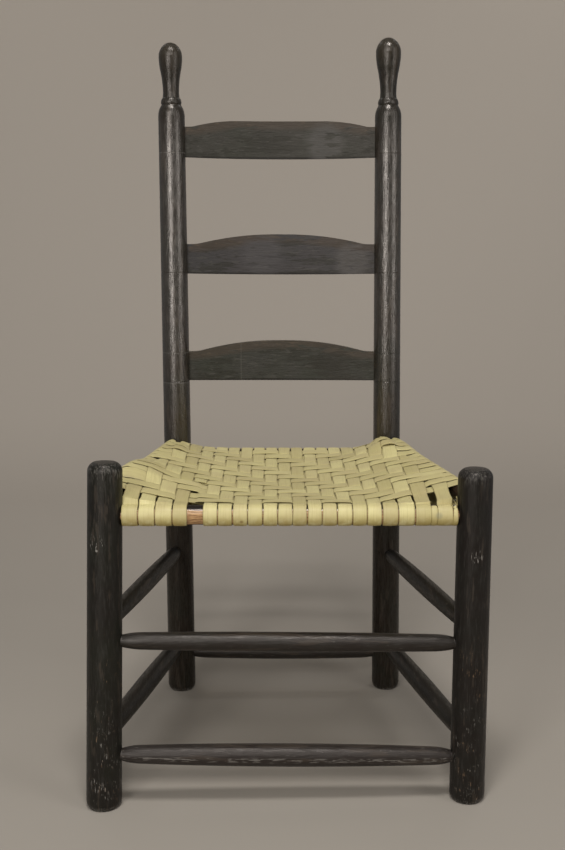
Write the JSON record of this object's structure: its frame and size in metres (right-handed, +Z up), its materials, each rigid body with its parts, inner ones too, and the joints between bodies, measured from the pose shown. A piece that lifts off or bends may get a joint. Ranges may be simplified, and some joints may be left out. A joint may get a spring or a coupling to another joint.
{
  "type": "ladderback chair",
  "caption": "Ladderback side chair with turned posts and rungs, arched and bent back slats, egg-shaped finials and a woven splint seat.",
  "frame": {"origin": "on the floor, under the middle of the chair's bounding box", "axes": "+Z up from the feet to the finials, +X to the right as seen from the front, the chair faces -Y"},
  "size_m": [0.504, 0.4068, 0.9814],
  "materials": {
    "painted_wood": "worn black-green paint on hardwood, satin with a wax shine",
    "bare_wood": "bare hardwood, unpainted under the weave",
    "splint": "split ash splint, aged and varnished, thin flat strips"
  },
  "bodies": {
    "root": {"front_post_left": "painted_wood", "front_post_right": "painted_wood", "rear_post_left": "painted_wood", "rear_post_right": "painted_wood", "front_rung_upper": "painted_wood", "front_rung_lower": "painted_wood", "rear_rung": "painted_wood", "side_rung_upper_left": "painted_wood", "side_rung_lower_left": "painted_wood", "side_rung_upper_right": "painted_wood", "side_rung_lower_right": "painted_wood", "top_slat": "painted_wood", "middle_slat": "painted_wood", "lower_slat": "painted_wood", "front_seat_rail": "bare_wood", "rear_seat_rail": "bare_wood", "side_seat_rail_left": "bare_wood", "side_seat_rail_right": "bare_wood", "slat_pegs": "bare_wood", "seat_warp_01": "splint", "seat_warp_02": "splint", "seat_warp_03": "splint", "seat_warp_04": "splint", "seat_warp_05": "splint", "seat_warp_06": "splint", "seat_warp_07": "splint", "seat_warp_08": "splint", "seat_warp_09": "splint", "seat_warp_10": "splint", "seat_warp_11": "splint", "seat_warp_12": "splint", "seat_warp_13": "splint", "seat_warp_14": "splint", "seat_warp_15": "splint", "seat_warp_16": "splint", "seat_warp_17": "splint", "seat_warp_18": "splint", "seat_warp_19": "splint", "seat_warp_20": "splint", "seat_warp_21": "splint", "seat_weft_01": "splint", "seat_weft_02": "splint", "seat_weft_03": "splint", "seat_weft_04": "splint", "seat_weft_05": "splint", "seat_weft_06": "splint", "seat_weft_07": "splint", "seat_weft_08": "splint", "seat_weft_09": "splint", "seat_weft_10": "splint", "seat_weft_11": "splint", "seat_weft_12": "splint", "seat_weft_13": "splint", "seat_weft_14": "splint"}
  },
  "joints": []
}
